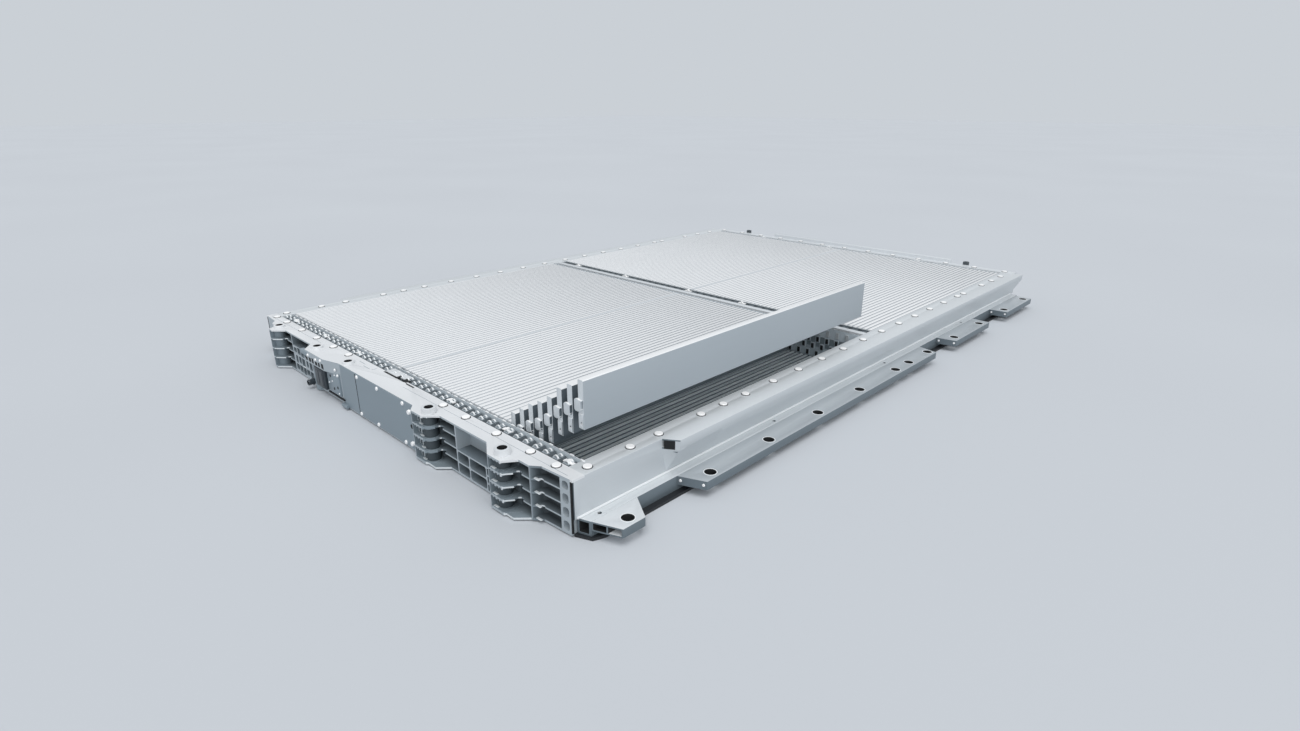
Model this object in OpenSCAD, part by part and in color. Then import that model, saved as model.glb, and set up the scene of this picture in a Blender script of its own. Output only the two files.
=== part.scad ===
// Battery pack for an electric vehicle, with its lid off and a row of long blade cells
// drawn part of the way out of the front right bay.
// Millimetres. X runs to the right, Y to the rear and Z up from the underside of the guard.
// Y is laid out from the inner face of the front casting, and place() centres it.

/* [Cells] */

// Thickness of one blade cell
cell_thick = 13.5; // [12:0.5:15]
// Gap between two cells
cell_gap = 1; // [0.5:0.25:2]
// Height of a cell
cell_height = 90; // [86:1:100]
// Length of a cell without its terminals
cell_length = 953; // [900:1:1000]
// How far a terminal stands out of the end of a cell
terminal_out = 4; // [3:0.5:5]
// Number of cell places on each side of the pack
cells_per_side = 44; // [40:1:48]
// Number of open cell places in the front right bay
open_places = 15; // [15:2:19]
// Thickness of the bar between the left and the right cells
spacer_thick = 12; // [10:1:16]
// Width of the ridge under one cell
ridge_width = 8; // [6:0.5:10]

/* [Tray] */

// Thickness of the black guard under the tray
guard_thick = 6; // [4:0.5:8]
// How far the guard shows past the sill
guard_out = 13; // [8:1:16]
// Thickness of the floor plate
floor_thick = 13; // [12:0.5:16]
// Thickness of the pads between floor and cells
pad_thick = 2; // [1:0.5:3]
// Width of the top of a side beam
rail_width = 41; // [38:1:46]
// Wall of the extrusions
wall = 4; // [3:0.5:5]
// Width of the sill outside the side beam
sill_width = 22; // [20:1:26]
// Height of the flanges' upper face below the beam's top
flange_drop = 75.7; // [74:0.1:78]
// Width of the upper outer chamber
chamber_width = 29; // [26:1:32]
// Height of the upper outer chamber
chamber_height = 17; // [14:1:20]
// Width of the middle crossbeam
middle_width = 18; // [16:1:24]
// Depth of the rear end beam
rear_depth = 37; // [30:1:44]

/* [Flanges] */

// How far the flanges stand out of the sill
flange_reach = 55; // [50:1:60]
// Thickness of the flanges
flange_thick = 18; // [16:1:20]
// Radius of the mounting holes in the flanges
flange_hole_r = 12; // [10:0.5:13]
// Distance of the mounting holes from the flange's edge
flange_hole_in = 20; // [18:0.5:24]
// Radius of the small holes along the sill
sill_hole_r = 4; // [3:0.5:5]

/* [Carriers] */

// Depth of the front busbar carrier
front_row_depth = 23; // [20:1:26]
// Depth of the carrier before the middle crossbeam
middle_front_depth = 10; // [8:1:12]
// Depth of the carrier behind the middle crossbeam
middle_rear_depth = 17; // [14:1:20]
// Depth of the rear carrier
rear_row_depth = 9; // [8:1:12]
// Thickness of a carrier's wall along the cell ends
strip_thick = 2; // [1.5:0.25:3]
// Thickness of a busbar link
busbar_thick = 2; // [1.5:0.25:3]
// Room between a carrier and the metal beside it
row_clear = 2; // [1:0.5:4]
// Width of one castle on a carrier, over two cells
castle_width = 20; // [18:0.5:23]

/* [Front casting] */

// Depth of the casting at its two ends
cast_end = 27; // [24:1:30]
// Depth of the casting along its flats
cast_flat = 44; // [43:1:50]
// Depth of the casting at its bumps
cast_bump = 70; // [66:1:74]
// Depth of the casting behind the cover plates
cast_cover = 55; // [52:1:60]
// Height of the casting's underside above the guard's underside
cast_low = 3; // [1:0.5:5]
// Thickness of the casting's top plate
cast_top = 4; // [3:0.5:5]
// Thickness of the shelves and ribs
rib = 3; // [2:0.25:4]
// Height of the first pocket with the top plate
first_shelf = 25; // [23:1:27]
// Distance between two shelves
shelf_pitch = 26.3; // [25:0.1:26.5]
// Thickness of the cover plates
cover_thick = 2; // [1.5:0.25:3]
// Outer radius of a mounting sleeve
sleeve_r = 14; // [12:0.5:15]
// Bore radius of a mounting sleeve
sleeve_bore_r = 9; // [7:0.5:10]
// Height of the right sleeves' collars above the top plate
collar_high = 12; // [8:1:14]
// Height of the left sleeves' collars above the top plate
collar_low = 6; // [4:1:8]
// Metal around a sleeve in the casting
boss_wall = 3; // [2:0.5:4]

/* [Fasteners] */

// Head radius of the top bolts
bolt_head_r = 9.5; // [8:0.5:10.5]
// Head height of the top bolts
bolt_head_h = 3; // [2:0.5:4]
// Shank radius of the top bolts
bolt_shank_r = 3; // [2.5:0.25:4]
// Shank length of the top bolts
bolt_shank = 14; // [10:1:20]
// Head radius of the cover screws
screw_head_r = 4.5; // [3.5:0.5:6]

/* [Hidden] */

$fn = 32;

// Widths
pitch = cell_thick + cell_gap;
bay_half = cells_per_side * pitch + spacer_thick / 2;
rail_out = bay_half + rail_width;
sill_out = rail_out + sill_width;
flange_out = sill_out + flange_reach;
chamber_out = rail_out + chamber_width;
hole_x = flange_out - flange_hole_in;
rail_bolt_x = rail_out - rail_width * 0.44;

// Heights
floor_low = guard_thick;
floor_top = guard_thick + floor_thick;
cell_base = floor_top + pad_thick;
top = cell_base + cell_height;
flange_top = top - flange_drop;
cast_height = top - cast_low;
skin = wall;

// Lengths
row_web = 5;
front_strip_y = row_clear + front_row_depth + row_web;
front_tip = front_strip_y + strip_thick + busbar_thick;
front_cell = front_tip + terminal_out;
front_far = front_cell + cell_length + terminal_out;
middle_row_y = front_far + busbar_thick + strip_thick;
middle_y = middle_row_y + middle_front_depth + row_clear + 1;
middle_back = middle_y + middle_width;
middle_rear_y = middle_back + row_clear + 3;
rear_tip = middle_rear_y + middle_rear_depth + strip_thick + busbar_thick;
rear_cell = rear_tip + terminal_out;
rear_far = rear_cell + cell_length + terminal_out;
rear_row_y = rear_far + busbar_thick + strip_thick;
rear_y = rear_row_y + rear_row_depth + row_clear + 1;
rear_back = rear_y + rear_depth;

// The front casting, with its places measured from the centre or from the pack's corner
corner = rail_out - wall - 2;
bump_in = 235;
bump_out = 273;
bump_slope = 29;
left_bump_out = 299;
left_bump_slope = 30;
block_out = rail_out - 142;
block_in = block_out - 38;
block_slope_in = 40;
block_slope_out = 19;
horn_in = block_out - 17;
horn_slope = 28;
step_in = rail_out - 93;
step_out = rail_out - 75;
cover_left = -128;
cover_right = 212;
cover_seam = -47;
ledge_in = -172;
ledge_deep = 30;
connector_x = -236;
sleeve_spots = [[271, -49, collar_high], [block_in + 18, -49.5, collar_high],
                [-122, -37.5, collar_low], [-288, -43, collar_low], [1 - block_out, -43, collar_low]];

// The lifted cells' tops above the top of the beams, from the left one to the right one
lifts = [22, 39, 57, 71, 89, 114, 129, 145];

// Places of the bolts
front_group = [22, 123, 197, 319, 389];
rear_group = [454, 406, 251, 161, 73];
row_first = 464;
row_last = 558;
row_bolts = 11;
bolt_pitch = (rear_y - row_last - row_first) / (row_bolts - 1);
right_bolts = [262, 346, 450, block_out + 11, rail_out - 59];
left_bolts = [-177, -264, -367, -465, -rail_out + 114, -rail_out + 40];
cast_bolt_y = -12;

// Places of the flanges: inner and outer start, outer and inner end
tab_flange = [-8, 13, 65, 100];
main_start = 205;
main_end = middle_y + 228;
main_flange = [main_start, main_start + 22, main_end - 15, main_end];
mid_start = middle_y + 343;
mid_end = rear_y - 401;
mid_flange = [mid_start, mid_start + 10, mid_end - 7, mid_end];
rear_start = rear_y - 253;
rear_stop = rear_y - 6;
rear_flange = [rear_start, rear_start + 5, rear_stop, rear_stop];
hole_first = 260;
hole_count = 5;
hole_pitch = (middle_y + 6 - hole_first) / (hole_count - 1);
main_extra = [middle_y + 83, middle_y + 200];
mid_holes = [middle_y + 385, rear_y - 443];
rear_holes = [rear_y - 221, rear_y - 33];
tab_holes = [43];
sill_holes = [20, middle_y - 479, middle_y + 33, rear_y - 473];

// The rear service box and the connector end of the pack
box_left = -370;
box_right = 440;
box_deep = 20;
box_rise = 11;
box_fall = 46;
boss_spots = [-521, 500];
stub_reach = 90;
stub_x = -311;
stub_drop = 93;
stub_z = top - stub_drop;

y_front = -stub_reach;
y_rear = rear_back + box_deep;
y_mid = (y_front + y_rear) / 2;

// Centres the pack between its frontmost and rearmost points
module place() {
    translate([0, -y_mid, 0]) children();
}

// A block given by its lowest and highest corners
module block(low, high) {
    translate(low) cube(high - low);
}

// A flat shape in X and Z, drawn out along Y
module along_y(from, to) {
    translate([0, to, 0]) rotate([90, 0, 0]) linear_extrude(to - from) children();
}

// A rectangle with true round corners
module round_rect(w, h, r) {
    square([w - 2 * r, h], center = true);
    square([w, h - 2 * r], center = true);
    for (sx = [-1, 1], sy = [-1, 1])
        translate([sx * (w / 2 - r), sy * (h / 2 - r)]) circle(r);
}

// Centre of cell place k, counted from the middle bar, on side s
function place_x(k, s) = s * (spacer_thick / 2 + (k + 0.5) * pitch);

// A bolt whose head rests at height 0
module bolt(head_r, head_h, shank_r, shank) {
    cylinder(r = head_r, h = head_h * 0.5);
    translate([0, 0, head_h * 0.5]) cylinder(r1 = head_r, r2 = head_r * 0.86, h = head_h * 0.5);
    translate([0, 0, -shank]) cylinder(r = shank_r, h = shank);
}

// The tray

module bottom_guard() {
    x = sill_out + guard_out;
    in = corner + 1;
    color("#1d2226") place() linear_extrude(guard_thick) polygon([
        [-x, 13], [-sill_out - 5, -10], [-in, -cast_end + 4], [-in, 1], [in, 1],
        [in, -cast_end + 4], [sill_out + 5, -10], [x, 13], [x, rear_y - 6], [-x, rear_y - 6]]);
}

module floor_plate() {
    color("#5b6a72") place() difference() {
        block([-bay_half, 0, floor_low], [bay_half, rear_y, floor_top]);
        // Coolant channels that run from front to rear
        for (i = [-8:7])
            block([i * bay_half / 8 + 8, -1, floor_low + 3],
                  [(i + 1) * bay_half / 8 - 8, rear_y + 1, floor_top - 4]);
    }
}

module seat_ridges() {
    color("#7f8c92") place() for (k = [cells_per_side - open_places : cells_per_side - 1])
        translate([place_x(k, 1) - ridge_width / 2, front_cell, floor_top])
            cube([ridge_width, cell_length, pad_thick]);
}

module thermal_pads() {
    stay = (cells_per_side - open_places) * pitch + spacer_thick / 2;
    edge = cell_gap;
    color("#8d979b") place() {
        block([spacer_thick / 2, front_cell, floor_top], [stay - edge, front_cell + cell_length, cell_base]);
        block([-bay_half + edge, front_cell, floor_top],
              [-spacer_thick / 2, front_cell + cell_length, cell_base]);
        for (s = [-1, 1]) scale([1, 1, 1]) mirror([s < 0 ? 1 : 0, 0, 0])
            block([spacer_thick / 2, rear_cell, floor_top],
                  [bay_half - edge, rear_cell + cell_length, cell_base]);
    }
}

// Section of the right side beam: wall, sill and the chambers inside them
module beam_section() {
    in = bay_half;
    mid = (flange_top + top) / 2 - 2;
    difference() {
        polygon([[in, floor_low], [sill_out, floor_low], [sill_out, flange_top],
                 [rail_out, flange_top], [rail_out, top], [in, top]]);
        translate([in + wall, mid + 2]) square([rail_width - 2 * wall, top - mid - 2 - wall]);
        translate([in + wall, flange_top]) square([rail_width - 2 * wall, mid - 2 - flange_top]);
        translate([in + wall, floor_low + wall])
            square([rail_width - 2 * wall, flange_top - floor_low - 2 * wall]);
        translate([rail_out, floor_low + wall])
            square([sill_width - wall, flange_top - floor_low - 2 * wall]);
    }
}

module side_beam() {
    upper = 187;
    lean = 19;
    fade = 130;
    low = flange_top + 4;
    rise = top - chamber_height - low;
    difference() {
        union() {
            along_y(-cast_end + 3, rear_back) beam_section();
            // The upper outer chamber starts further back and leans on a slanted wing below it
            difference() {
                along_y(upper, rear_y + 12) polygon([
                    [rail_out - 1, low], [rail_out, low], [chamber_out, top - chamber_height], [chamber_out, top],
                    [rail_out - 1, top]]);
                block([rail_out, upper - 1, top - chamber_height], [chamber_out - 3, rear_y + 13, top - 3]);
                // Its front end leans back from the rail to its outer edge
                translate([0, 0, low - 1]) linear_extrude(top - low + 2) polygon([
                    [rail_out, upper - 1], [chamber_out + 1, upper - 1], [chamber_out + 1, upper + lean],
                    [rail_out, upper]]);
                // The wing's front end is cut away below the chamber at a long slant
                translate([rail_out, upper, top - chamber_height - 3]) rotate([-atan(rise / fade), 0, 0])
                    translate([0, -2 * fade, -2 * rise]) cube([chamber_width + 1, 5 * fade, 2 * rise]);
            }
        }
        // The front end is cut back to the outer skin where the casting goes
        block([bay_half - 1, -cast_end - 1, floor_low - 1], [rail_out - skin, 0, top + 1]);
        block([rail_out - skin - 1, -cast_end - 1, top - cast_top], [rail_out + 1, 0, top + 1]);
        translate([0, 0, floor_low - 1]) linear_extrude(flange_top - floor_low + 1)
            polygon([[rail_out - skin - 1, -cast_end - 1], [sill_out + 1, -cast_end - 1],
                     [sill_out + 1, tab_flange[0]], [rail_out - skin - 1, tab_flange[0] - 9]]);
        // The rear end is cut back in the same way for the rear beam
        block([bay_half - 1, rear_y, floor_low - 1], [rail_out - skin, rear_back + 1, top + 1]);
        block([rail_out - skin - 1, rear_y + 12, floor_low - 1], [chamber_out + 1, rear_back + 1, flange_top]);
        block([rail_out - skin - 1, rear_y + 10, top - 60], [rail_out + 1, rear_y + 16, top - 20]);
        // Holes for the bolts along the top, and the small holes along the sill
        for (y = bolt_rows())
            translate([rail_bolt_x, y, top - bolt_shank - 1]) cylinder(r = bolt_shank_r, h = bolt_shank + 2);
        for (y = sill_holes)
            translate([rail_out + sill_width / 2 + 1, y, flange_top - wall - 1])
                cylinder(r = sill_hole_r, h = wall + 2);
    }
}

function bolt_rows() = concat(front_group,
    [for (k = [0:row_bolts - 1]) row_first + k * bolt_pitch],
    [for (b = rear_group) rear_y - b]);

module side_beam_right() {
    color("#b9c2c7") place() side_beam();
}

module side_beam_left() {
    color("#b9c2c7") place() mirror([1, 0, 0]) side_beam();
}

module middle_crossbeam() {
    rows = 4;
    color("#aab4ba") place() difference() {
        block([-bay_half, middle_y, floor_top], [bay_half, middle_back, top]);
        // Two long chambers
        for (z = [floor_top + wall, (floor_top + top) / 2 + wall / 2])
            block([-bay_half - 1, middle_y + 3, z], [bay_half + 1, middle_back - 3, z + cell_height / 2 - 7]);
        // Staggered windows in the wall towards the open bay
        for (r = [0:rows - 1], k = [cells_per_side - open_places : cells_per_side - 1])
            translate([place_x(k, 1) - 4 + (r % 2) * 3, middle_y - 1, floor_top + 9 + r * 19])
                cube([5, 5, 10]);
    }
}

// The flanges

module flange(shape, holes) {
    low = flange_top - flange_thick;
    mid = (sill_out + flange_out) / 2;
    z_in = low + 3;
    z_out = flange_top - 3;
    difference() {
        translate([0, 0, low]) linear_extrude(flange_thick) polygon([
            [sill_out, shape[0]], [flange_out, shape[1]], [flange_out, shape[2]], [sill_out, shape[3]]]);
        // Two chambers open at both cut ends, and whole metal round each hole
        difference() {
            for (x = [[sill_out + 3, mid - 1.5], [mid + 1.5, flange_out - 3]])
                block([x[0], min(shape[0], shape[1]) - 1, z_in], [x[1], max(shape[2], shape[3]) + 1, z_out]);
            for (y = holes) translate([hole_x, y, low]) cylinder(r = flange_hole_r + 4, h = flange_thick);
        }
        for (y = holes) translate([hole_x, y, low - 1]) cylinder(r = flange_hole_r, h = flange_thick + 2);
    }
}

main_holes = concat([for (k = [0:hole_count - 1]) hole_first + k * hole_pitch], main_extra);

module flange_right(shape, holes) {
    color("#c3cacd") place() flange(shape, holes);
}

module flange_left(shape, holes) {
    color("#c3cacd") place() mirror([1, 0, 0]) flange(shape, holes);
}

// The front casting

// Right half of the casting's outline seen from above
function half_outline(first, a_out, a_slope, b_in, b_slope) = concat(first, [
    [a_out, -cast_bump], [a_out + a_slope, -cast_flat],
    [b_in - b_slope, -cast_flat], [b_in, -cast_bump],
    [block_out, -cast_bump], [block_out + block_slope_out, -cast_flat],
    [step_in, -cast_flat], [step_out, -cast_end - 4], [corner, -cast_end], [corner, 0]]);

module cast_outline() {
    polygon(half_outline([[-1, 0], [-1, -cast_cover], [cover_right + 3, -cast_cover], [bump_in, -cast_bump]],
                         bump_out, bump_slope, block_in, block_slope_in));
    mirror([1, 0, 0])
        polygon(half_outline([[-1, 0], [-1, -cast_cover], [-cover_left + 7, -cast_cover],
                              [-ledge_in + 20, -cast_bump]],
                             left_bump_out, left_bump_slope, horn_in, horn_slope));
}

function shelf_z(i) = top - first_shelf - i * shelf_pitch;

function pocket_top(i) = i == 0 ? top - cast_top : shelf_z(i - 1) - rib;

// A pocket seen from above, open to the front and with two round corners at its back
module pocket_plan(x0, x1, back, r) {
    translate([x0, -cast_bump - 10]) square([x1 - x0, cast_bump + 10 + back - r]);
    translate([x0 + r, back - r - 1]) square([x1 - x0 - 2 * r, r + 1]);
    for (x = [x0 + r, x1 - r]) translate([x, back - r]) circle(r);
}

// The same pocket on each of the four levels, with a round bite out of the shelves between them
module pockets(x0, x1, back, r, bite_x, bite_y, bite_r) {
    for (i = [0:3])
        translate([0, 0, shelf_z(i)]) linear_extrude(pocket_top(i) - shelf_z(i)) pocket_plan(x0, x1, back, r);
    translate([bite_x, bite_y, shelf_z(3)]) cylinder(r = bite_r, h = top - cast_top - shelf_z(3));
}

// A window in the front with round corners, as deep as back
module window(x0, x1, down0, down1, back, r) {
    along_y(-cast_bump - 1, back)
        translate([(x0 + x1) / 2, top - (down0 + down1) / 2]) round_rect(x1 - x0, down1 - down0, r);
}

// The upper recess, the two by two grid under it and the narrow windows beside it
module recess_and_grid() {
    low = block_in - block_slope_in;
    first = bump_out + bump_slope + 55.5;
    mid = first + 39;
    block([first, -cast_bump - 1, top - 54], [low + 12, -14, top - cast_top]);
    for (z = [[54 + rib, 79], [79 + rib, 103]]) {
        window(first, mid, z[0], z[1], -18, 5);
        window(mid + rib, low - 11, z[0], z[1], -18, 5);
    }
    for (z = [[57, 71], [74, 88], [91, 104]])
        window(low - 11 + rib, low + 1, z[0], z[1], -30, 2);
}

// Narrow upright slots in the front of a bump that starts at x
module bump_slots(x) {
    for (i = [0:3], slot = [1.5, 10, 21, 29.5])
        block([x + slot, -cast_bump - 1, shelf_z(i) + (i == 0 ? 0 : 1)],
              [x + slot + 6, -cast_bump + 12, pocket_top(i)]);
}

// The fittings' wall at the left: a recess over three uneven rows of small windows
module left_wall() {
    out = horn_in - horn_slope - 40;
    in = left_bump_out + left_bump_slope - 10;
    block([in + 2, -cast_bump - 1, top - 31], [out, -14, top - cast_top]);
    for (k = [0:5]) {
        x = in + 1 + k * (out - in) / 6;
        w = (out - in) / 6 - rib;
        window(x, x + w, 34 + (k % 2) * 3, 54 - (k % 3) * 2, k % 2 == 0 ? -22 : -34, 3);
        window(x + 1, x + w - (k % 3) * 3, 58, 76 + (k % 2) * 3, k % 2 == 0 ? -36 : -24, 3);
        window(x, x + w, 83, 103 - (k % 3) * 2, -26, 3);
    }
}

module casting_hollows() {
    edge = rib / 2;
    pockets(bump_out + rib, bump_out + bump_slope + 52, -15, 12, bump_out + bump_slope - 2, -cast_flat - 2, 9);
    pockets(block_out + 1, step_in - edge, -16, 11, block_out + block_slope_out - 1, -cast_flat - 3, 8);
    pockets(step_in + edge, step_in + 62, -13, 11, step_out - 1, -cast_flat + 8, 7);
    for (i = [0:3])
        window(corner - 20, corner - 5, top - pocket_top(i) + 3, top - shelf_z(i) - 2, -12, 6);
    recess_and_grid();
    bump_slots(block_in);
    bump_slots(bump_in);
    mirror([1, 0, 0]) {
        pockets(horn_in - horn_slope - 36, block_out - edge, -15, 12, horn_in - horn_slope + 2, -cast_flat - 3, 8);
        pockets(block_out + edge, block_out + 70, -13, 11, block_out + 28, -cast_flat + 8, 7);
        left_wall();
    }
    // The bay of the connector, open below its ledge
    block([-left_bump_out - left_bump_slope + 6, -cast_bump - 1, cast_low - 1],
          [ledge_in + 32, -cast_cover + 5, top - ledge_deep]);
    // The room behind the cover plates
    block([cover_left + 8, -cast_cover - 1, cast_low + 4], [cover_right - 8, -8, top - cast_top]);
}

// A lobe of the bottom plate whose front ends at x
module lobe(x) {
    r = 7;
    polygon([[x - 40, -20], [x - 40, -cast_bump + 4 + r], [x - 40 + r, -cast_bump + 4], [x, -cast_bump + 4],
             [x + 33, -cast_bump + 37], [x + 33, -20]]);
    translate([x - 40 + r, -cast_bump + 4 + r]) circle(r);
}

module front_end_casting() {
    color("#8fa0ab") place() difference() {
        union() {
            difference() {
                translate([0, 0, cast_low]) linear_extrude(cast_height) cast_outline();
                casting_hollows();
            }
            // Bosses round the sleeves
            for (s = sleeve_spots)
                translate([s[0], s[1], cast_low]) cylinder(r = sleeve_r + boss_wall, h = cast_height);
            // The top plate runs out over the side beams' skins
            block([-rail_out, -cast_end, top - cast_top], [rail_out, 0, top]);
            // The bottom plate runs further out than the top plate beside both bumps
            for (x = [bump_out + 32, block_out + 24]) translate([0, 0, cast_low]) linear_extrude(4) lobe(x);
        }
        for (s = sleeve_spots)
            translate([s[0], s[1], cast_low - 1]) cylinder(r = sleeve_r, h = cast_height + 2);
        for (x = concat(right_bolts, left_bolts))
            translate([x, cast_bolt_y, top - bolt_shank - 1]) cylinder(r = bolt_shank_r, h = bolt_shank + 2);
        // Cut-out in the top plate for the main lead
        block([0, -6, top - cast_top - 1], [85, 1, top + 1]);
        block([95, -7, top - cast_top - 1], [130, -4, top + 1]);
    }
}

module mounting_sleeves() {
    color("#c9d0d3") place() for (s = sleeve_spots)
        translate([s[0], s[1], cast_low]) difference() {
            cylinder(r = sleeve_r, h = cast_height + s[2]);
            translate([0, 0, -1]) cylinder(r = sleeve_bore_r, h = cast_height + s[2] + 2);
        }
}

module cover_plate(left, right) {
    place() difference() {
        block([left, -cast_cover - cover_thick, cast_low + 5], [right, -cast_cover, top - 2]);
        for (s = cover_screw_spots())
            translate([s[0], -cast_cover + 1, s[1]]) rotate([90, 0, 0])
                cylinder(r = screw_head_r * 0.5, h = cover_thick + 2);
    }
}

function cover_screw_spots() = concat(
    [for (x = [-36, 62, 176]) [x, top - 7]],
    [for (x = [-38, 47, 171]) [x, cast_low + 10]],
    [for (z = [22, top - 17]) [cover_right - 6, z]]);

module cover_plate_wide() {
    color("#80909a") cover_plate(cover_seam + 0.5, cover_right);
}

module cover_plate_narrow() {
    color("#87969f") cover_plate(cover_left, cover_seam - 0.5);
}

module cover_screws() {
    color("#e4e8ea") place() for (s = cover_screw_spots())
        translate([s[0], -cast_cover - cover_thick, s[1]]) rotate([90, 0, 0])
            bolt(screw_head_r, 2.5, screw_head_r * 0.5, cover_thick);
}

// The connector and the control parts

module hv_connector() {
    color("#161a1d") place() difference() {
        along_y(-cast_cover - 23, -cast_cover + 5)
            translate([connector_x, top - 61]) round_rect(60, 54, 5);
        // Two plug wells
        for (s = [-1, 1])
            along_y(-cast_cover - 24, -cast_cover - 6)
                translate([connector_x + s * 14, top - 61]) round_rect(23, 44, 5);
    }
}

module coolant_stub() {
    color("#23292d") place() translate([stub_x, -stub_reach, stub_z]) rotate([-90, 0, 0]) difference() {
        union() {
            cylinder(r = 7, h = stub_reach - cast_cover + 5);
            translate([0, 0, 6]) cylinder(r1 = 7, r2 = 9, h = 4);
            translate([0, 0, 22]) cylinder(r = 10, h = 3);
        }
        translate([0, 0, -1]) cylinder(r = 5, h = 30);
    }
}

module contactors() {
    color("#2b3033") place() for (x = [90, 150]) translate([x, -36, cast_low + 4]) {
        cylinder(r = 18, h = 58);
        for (s = [-1, 1]) translate([s * 8, 0, 58]) cylinder(r = 4, h = 8);
        translate([-24, -14, 0]) cube([48, 28, 5]);
    }
}

module main_fuse() {
    color("#c9b48a") place() translate([-10, -34, cast_low + 4]) {
        block([0, -12, 0], [70, 12, 8]);
        translate([8, 0, 23]) rotate([0, 90, 0]) cylinder(r = 12, h = 54);
        block([0, -9, 8], [8, 9, 30]);
        block([62, -9, 8], [70, 9, 30]);
    }
}

module monitor_board() {
    color("#2f6b4a") place() {
        block([-100, -12, cast_low + 14], [60, -10, top - 14]);
        block([-90, -20, top - 44], [-50, -12, top - 32]);
        block([-30, -16, cast_low + 50], [-6, -12, cast_low + 74]);
        for (x = [-92, 52], z = [cast_low + 22, top - 22])
            translate([x, -10, z]) rotate([-90, 0, 0]) cylinder(r = 4, h = 2);
    }
}

// The cells

module cell_section() {
    w = cell_thick / 2;
    c = 1.4;
    polygon([[-w, 0], [w, 0], [w, cell_height - c], [w - c, cell_height], [c - w, cell_height],
             [-w, cell_height - c]]);
}

module cell() {
    along_y(0, cell_length) cell_section();
    for (y = [-terminal_out, cell_length])
        translate([-cell_thick / 2 + 2, y, cell_height - 54]) cube([cell_thick - 4, terminal_out, 18]);
}

module cell_group(first, last, side, y) {
    color("#e3e7ea") place() for (k = [first:last])
        translate([place_x(k, side), y, cell_base]) cell();
}

module cells_front_left() {
    cell_group(0, cells_per_side - 1, -1, front_cell);
}

module cells_front_right() {
    cell_group(0, cells_per_side - open_places - 1, 1, front_cell);
}

module cells_rear_left() {
    cell_group(0, cells_per_side - 1, -1, rear_cell);
}

module cells_rear_right() {
    cell_group(0, cells_per_side - 1, 1, rear_cell);
}

// A cell drawn up out of its place, with the rounded tab welded to its terminal
module lifted_cell(i) {
    k = cells_per_side - open_places + 2 * i;
    w = cell_thick / 2;
    color("#c5cdd2") place()
        translate([place_x(k, 1), front_cell, top + lifts[i] - cell_height]) difference() {
            union() {
                cell();
                // Rounded tab that stands out to the left
                translate([-w, 0, cell_height - 46]) rotate([90, 0, 0]) linear_extrude(terminal_out)
                    round_rect(13, 23, 5);
                // Raised foot of the end cap
                translate([-w + 1, -1.5, 2]) cube([cell_thick - 2, 1.5, 26]);
            }
            // Relief vent near the bottom of the end
            translate([1, 4, cell_height - 79]) rotate([90, 0, 0]) cylinder(r = 2.5, h = 10);
            // Slot beside the terminal
            translate([w - 3.5, -terminal_out - 1, cell_height - 52]) cube([2, terminal_out + 3, 14]);
        }
}

module centre_bar(y) {
    half = spacer_thick / 2 - cell_gap / 2;
    color("#9aa4aa") place() difference() {
        block([-half, y, floor_top], [half, y + cell_length, top]);
        block([-half + 2.5, y - 1, floor_top + 3], [half - 2.5, y + cell_length + 1, top - 3]);
    }
}

module centre_bar_front() {
    centre_bar(front_cell);
}

module centre_bar_rear() {
    centre_bar(rear_cell);
}

// The busbars and their carriers

// Castellated section of a carrier, with one tapered castle over every two cells
function castles(low, mid, high) =
    let (pairs = floor(cells_per_side / 2), h = castle_width / 2, taper = 2.5)
    concat(
    [[-bay_half + 2, low], [-bay_half + 2, mid]],
    [for (s = [-1, 1], k = [0:pairs - 1], p = [0:3])
        let (c = (place_x(2 * (s < 0 ? pairs - 1 - k : k), s) + place_x(2 * (s < 0 ? pairs - 1 - k : k) + 1, s)) / 2)
        [c + (p < 2 ? -1 : 1) * (p == 0 || p == 3 ? h : h - taper), p == 0 || p == 3 ? mid : high]],
    [[bay_half - 2, mid], [bay_half - 2, low]]);

// Carrier with its row from y0 to y1, and its strip at the cell ends from s0 to s1
module carrier(y0, y1, s0, s1) {
    low = top - 34;
    color("#4a545a") place() {
        along_y(y0, y1) polygon(castles(low, top - 10, top - 3));
        block([-bay_half + 2, min(y1, s1) - 1, low], [bay_half - 2, max(y0, s0) + 1, low + 4]);
        block([-bay_half + 2, s0, floor_top], [bay_half - 2, s1, top]);
    }
}

module carrier_front() {
    carrier(row_clear, row_clear + front_row_depth, front_strip_y, front_strip_y + strip_thick);
}

module carrier_middle_front() {
    carrier(middle_row_y, middle_row_y + middle_front_depth, middle_row_y - strip_thick, middle_row_y);
}

module carrier_middle_rear() {
    end = middle_rear_y + middle_rear_depth;
    carrier(middle_rear_y, end, end, end + strip_thick);
}

module carrier_rear() {
    carrier(rear_row_y, rear_row_y + rear_row_depth, rear_row_y - strip_thick, rear_row_y);
}

// Links between neighbouring cells, from cell place first outwards
module busbars(y, first) {
    color("#c98a5a") place() for (s = [-1, 1], k = [first:2:cells_per_side - 2])
        block([min(place_x(k, s), place_x(k + 1, s)) - 5, y, top - 60],
              [max(place_x(k, s), place_x(k + 1, s)) + 5, y + busbar_thick, top - 30]);
}

module busbars_front() {
    busbars(front_tip - busbar_thick, 0);
}

module busbars_middle_front() {
    busbars(front_far, 1);
}

module busbars_middle_rear() {
    busbars(rear_tip - busbar_thick, 1);
}

module busbars_rear() {
    busbars(rear_far, 0);
}

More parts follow.
